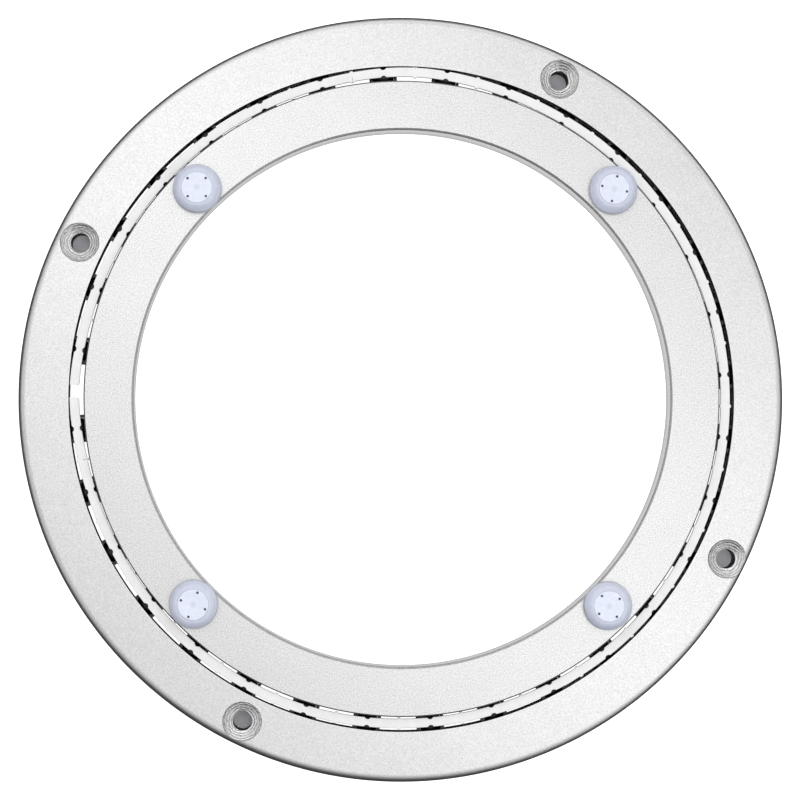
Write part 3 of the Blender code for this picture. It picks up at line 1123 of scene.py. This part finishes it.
class TURNTABLE_OT_ball_cage(bpy.types.Operator):
    """Build the ball cage: an open nylon strip with a pocket round each ball"""

    bl_idname = "turntable.ball_cage"
    bl_label = "Ball Cage"

    def execute(self, context):
        sizes = context.scene.turntable_sizes
        colours = context.scene.turntable_finishes
        strip_foot = CAGE_HIGH.z - STRIP_THICKNESS
        nylon = moulded_nylon(colours.nylon, colours.gap_shade, strip_foot, CAGE_HIGH.z)
        strip = bmesh.new()
        add_strip(strip, strip_stations(sizes), strip_foot, CAGE_HIGH.z)
        pockets = bmesh.new()
        bores = bmesh.new()
        for degrees in pocket_angles(sizes.pocket_count):
            add_pocket(pockets, degrees)
            add_pocket_bore(bores, degrees)
        name = "ball_cage_moulded"
        cage = link_object(name, mesh_from(name, strip), nylon)
        combine(cage, "UNION", link_object("pockets", mesh_from("pockets", pockets), nylon))
        combine(cage, "DIFFERENCE", link_object("pocket_bores", mesh_from("pocket_bores", bores), nylon))
        settle(cage, "ball_cage", "cage", "ball_cage")
        return {"FINISHED"}


class TURNTABLE_OT_balls(bpy.types.Operator):
    """Build the polished steel balls"""

    bl_idname = "turntable.balls"
    bl_label = "Balls"

    def execute(self, context):
        colours = context.scene.turntable_finishes
        steel = polished_bearing_steel(colours.steel)
        bm = bmesh.new()
        bmesh.ops.create_icosphere(bm, subdivisions=BALL_FACET_LEVEL, radius=ball_radius())
        mesh = mesh_from("ball_polished", bm)
        mesh.materials.append(steel)
        for node in BALL_NODES:
            low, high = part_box(node)
            ball = link_object(f"{node}_polished", mesh)
            ball.location = polar(
                pitch_radius(), math.degrees(math.atan2(low.y + high.y, low.x + high.x)), ball_height()
            )
            settle(ball, frame["nodes"][node]["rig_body"], "balls", node)
        return {"FINISHED"}


# ---------------------------------------------------------------- feet


def foot_profile(sizes):
    """Flat base, short upright skirt, rounded flank, and a slightly dished face that stands proud by a step."""
    radius = (FOOT_HIGH.x - FOOT_LOW.x) / 2
    height = FOOT_HIGH.z - FOOT_LOW.z
    face = sizes.foot_face_radius
    flank_top = height - FACE_STEP
    flank = []
    for step in range(FOOT_STEPS + 1):
        angle = math.pi / 2 * step / FOOT_STEPS
        out = face + (radius - face) * math.cos(angle)
        flank.append((out, FOOT_SKIRT + (flank_top - FOOT_SKIRT) * math.sin(angle)))
    dish = []
    flat = face - FACE_ROUND
    for step in range(1, FACE_STEPS + 1):
        out = flat * (1 - step / FACE_STEPS)
        dish.append((out, height - FACE_DISH * (math.cos(math.pi * out / flat) + 1) / 2))
    return [
        (0.0, 0.0),
        (radius - FACE_ROUND, 0.0),
        (radius, FACE_ROUND),
        *flank,
        *arc_points((flat, height - FACE_ROUND), FACE_ROUND, 0, 90, CORNER_STEPS // 2),
        *dish,
    ]


def add_pips(bm, height, turn):
    """Cutter for the four moulding pips in a foot's face."""
    for index in range(PIP_COUNT):
        place = Matrix.Translation(polar(PIP_CIRCLE, turn + index * 360 / PIP_COUNT, height))
        bmesh.ops.create_cone(
            bm,
            cap_ends=True,
            segments=PIP_SEGMENTS,
            radius1=PIP_RADIUS / 2,
            radius2=PIP_RADIUS,
            depth=2 * PIP_DEPTH,
            matrix=place,
        )


class TURNTABLE_OT_feet(bpy.types.Operator):
    """Build the clear stick-on feet"""

    bl_idname = "turntable.feet"
    bl_label = "Feet"

    def execute(self, context):
        sizes = context.scene.turntable_sizes
        colours = context.scene.turntable_finishes
        foot_radius = (FOOT_HIGH.x - FOOT_LOW.x) / 2
        clear = cast_polyurethane(colours.lit_foot_face, colours.rubber, sizes.foot_face_radius, foot_radius)
        # Painted shade goes into the pips.
        pip_shade = shaded_pip(colours.pip_shade)
        for number in range(1, FOOT_COUNT + 1):
            node = f"foot_{number}"
            low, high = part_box(node)
            name = f"{node}_cast"
            foot = link_object(name, turned(name, foot_profile(sizes), FOOT_SEGMENTS, closed=False), clear)
            pips = bmesh.new()
            add_pips(pips, high.z - low.z, PIP_TURNS[number - 1])
            combine(foot, "DIFFERENCE", link_object("pips", mesh_from("pips", pips), pip_shade))
            foot.location = ((low.x + high.x) / 2, (low.y + high.y) / 2, low.z)
            settle(foot, "inner_ring", "feet", node)
        return {"FINISHED"}


class TURNTABLE_OT_adhesive(bpy.types.Operator):
    """Build the disc of adhesive film under each foot"""

    bl_idname = "turntable.adhesive"
    bl_label = "Adhesive Film"

    def execute(self, context):
        film = acrylic_adhesive(context.scene.turntable_finishes.film)
        radius = (FILM_HIGH.x - FILM_LOW.x) / 2
        thickness = FILM_HIGH.z - FILM_LOW.z
        profile = [
            (0.0, 0.0),
            (radius - FILM_EDGE, 0.0),
            (radius, FILM_EDGE),
            (radius, thickness - FILM_EDGE),
            (radius - FILM_EDGE, thickness),
            (0.0, thickness),
        ]
        for number in range(1, FOOT_COUNT + 1):
            node = f"foot_adhesive_{number}"
            low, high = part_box(node)
            name = f"{node}_film"
            disc = link_object(name, turned(name, profile, FILM_SEGMENTS, closed=False), film)
            disc.location = ((low.x + high.x) / 2, (low.y + high.y) / 2, low.z)
            settle(disc, "inner_ring", "adhesive", node)
        return {"FINISHED"}


# ---------------------------------------------------------------- stage


def floor_finish(colour, bore_radius):
    """Matt painted floor, backlit where it lies open, so that it stays white right up to the rings."""
    material, tree, output, place = new_finish("matt_painted_floor")
    radius = length_of(tree, place)
    inner_lip, outer_lip = lip_radii()
    rim = OUTER_HIGH.x
    around = remapped(tree, radius, [rim - inward for inward in RIM_GLOW_BAND], (0.0, FLOOR_GLOW))
    within = remapped(tree, radius, [bore_radius + outward for outward in BORE_GLOW_BAND], (0.0, FLOOR_GLOW))
    past_inner = remapped(tree, radius, (inner_lip - INNER_GLOW_FADE, inner_lip), (0.0, FLOOR_GLOW))
    before_outer = remapped(tree, radius, [outer_lip + outward for outward in OUTER_GLOW_BAND], (1.0, 0.0))
    gap = arithmetic(tree, "MULTIPLY", past_inner, before_outer)
    glow = arithmetic(tree, "ADD", arithmetic(tree, "ADD", around, within), gap)
    rays = add_node(tree, "ShaderNodeLightPath").outputs
    seen = arithmetic(tree, "MAXIMUM", rays["Is Camera Ray"], rays["Is Transmission Ray"])
    in_bore = remapped(tree, radius, (bore_radius - BORE_LIGHT_FADE, bore_radius), (BORE_LIGHT, 0.0))
    strength = arithmetic(tree, "MULTIPLY", glow, arithmetic(tree, "MAXIMUM", seen, in_bore))
    speck = specks(tree, place, FLOOR_SPECK_SIZE)
    dimmed = remapped(tree, seen, (0.0, 1.0), (UNSEEN_FLOOR_TONE, 1.0))
    tone = arithmetic(tree, "MULTIPLY", varied(tree, speck, FLOOR_TONES), dimmed)
    add_surface(
        tree,
        output,
        {
            "Base Color": toned(tree, colour, tone),
            "Roughness": 0.9,
            "Specular IOR Level": 0.0,
            "Emission Color": WHITE,
            "Emission Strength": strength,
        },
    )
    return material


def light_the_room(scene):
    """Pale room: bright overhead, dimmer towards the horizon, and dark on one low side."""
    world = bpy.data.worlds.new("studio_room")
    world.use_nodes = True
    tree = world.node_tree
    tree.nodes.clear()
    direction = add_node(tree, "ShaderNodeTexCoord").outputs["Generated"]
    height = add_node(tree, "ShaderNodeSeparateXYZ", {"Vector": direction}).outputs["Z"]
    overhead = remapped(tree, height, OVERHEAD_SPAN, OVERHEAD_LIGHT)
    horizon = remapped(tree, height, HORIZON_SPAN, HORIZON_LIGHT, "SMOOTHSTEP")
    side = add_node(
        tree,
        "ShaderNodeVectorMath",
        {0: direction, 1: (math.cos(DARK_SIDE), math.sin(DARK_SIDE), 0.0)},
        operation="DOT_PRODUCT",
    ).outputs["Value"]
    dark_side = remapped(tree, side, DARK_SIDE_SPAN, DARK_SIDE_LIGHT, "SMOOTHSTEP")
    far_side = remapped(tree, side, FAR_SIDE_SPAN, FAR_SIDE_LIGHT, "SMOOTHSTEP")
    strength = arithmetic(tree, "MULTIPLY", overhead, horizon)
    for share in (dark_side, far_side, WORLD_STRENGTH):
        strength = arithmetic(tree, "MULTIPLY", strength, share)
    background = add_node(tree, "ShaderNodeBackground", {"Color": WHITE, "Strength": strength})
    output = add_node(tree, "ShaderNodeOutputWorld")
    tree.links.new(background.outputs["Background"], output.inputs["Surface"])
    scene.world = world


def hang_softbox(scene):
    """Long soft light over the object, from its upper left to its lower right."""
    light = bpy.data.lights.new("softbox", "AREA")
    light.shape = "RECTANGLE"
    light.size, light.size_y = KEY_SIZE
    light.energy = KEY_POWER
    softbox = bpy.data.objects.new("softbox", light)
    softbox.location = KEY_PLACE
    softbox.rotation_euler = (0.0, 0.0, -KEY_TURN)
    softbox.visible_camera = False
    scene.collection.objects.link(softbox)


def place_camera(scene):
    data = bpy.data.cameras.new("camera")
    data.lens = LENS_LENGTH
    data.sensor_width = SENSOR_WIDTH
    camera = bpy.data.objects.new("camera", data)
    scene.collection.objects.link(camera)
    back = (Vector(CAMERA_PLACE) - Vector(CAMERA_AIM)).normalized()
    right = Vector((0.0, 1.0, 0.0)).cross(back).normalized()
    upward = back.cross(right)
    facing = Matrix((right, upward, back)).transposed().to_4x4()
    camera.matrix_world = Matrix.Translation(CAMERA_PLACE) @ facing
    scene.camera = camera


class TURNTABLE_OT_stage(bpy.types.Operator):
    """Build the floor, the lights and the camera"""

    bl_idname = "turntable.stage"
    bl_label = "Stage"

    def execute(self, context):
        scene = context.scene
        scene.view_settings.view_transform = "Standard"
        bm = bmesh.new()
        bmesh.ops.create_grid(bm, x_segments=1, y_segments=1, size=FLOOR_SIZE / 2)
        finish = floor_finish(scene.turntable_finishes.floor, scene.turntable_sizes.bore_radius)
        floor = link_object("floor", mesh_from("floor", bm), finish)
        floor.location.z = CAD_BOX[0].z - FLOOR_GAP
        light_the_room(scene)
        hang_softbox(scene)
        place_camera(scene)
        return {"FINISHED"}


# ---------------------------------------------------------------- add-on


BUILDERS = (
    TURNTABLE_OT_outer_ring,
    TURNTABLE_OT_inner_ring,
    TURNTABLE_OT_ball_cage,
    TURNTABLE_OT_balls,
    TURNTABLE_OT_feet,
    TURNTABLE_OT_adhesive,
    TURNTABLE_OT_stage,
)


class TURNTABLE_PT_builder(bpy.types.Panel):
    """Lists the pieces of the bearing"""

    bl_idname = "TURNTABLE_PT_builder"
    bl_label = "Turntable"
    bl_space_type = "VIEW_3D"
    bl_region_type = "UI"
    bl_category = "Turntable"

    def draw(self, context):
        column = self.layout.column(align=True)
        for builder in BUILDERS:
            column.operator(builder.bl_idname)
        for group in (context.scene.turntable_sizes, context.scene.turntable_finishes):
            for name in group.__annotations__:
                column.prop(group, name)


CLASSES = (TurntableSizes, TurntableFinishes, *BUILDERS, TURNTABLE_PT_builder)


def register():
    for cls in CLASSES:
        bpy.utils.register_class(cls)
    bpy.types.Scene.turntable_sizes = PointerProperty(type=TurntableSizes)
    bpy.types.Scene.turntable_finishes = PointerProperty(type=TurntableFinishes)


def unregister():
    del bpy.types.Scene.turntable_finishes
    del bpy.types.Scene.turntable_sizes
    for cls in reversed(CLASSES):
        bpy.utils.unregister_class(cls)


def main():
    register()
    bpy.ops.turntable.outer_ring()
    bpy.ops.turntable.inner_ring()
    bpy.ops.turntable.ball_cage()
    bpy.ops.turntable.balls()
    bpy.ops.turntable.feet()
    bpy.ops.turntable.adhesive()
    bpy.ops.turntable.stage()


if __name__ == "__main__":
    main()
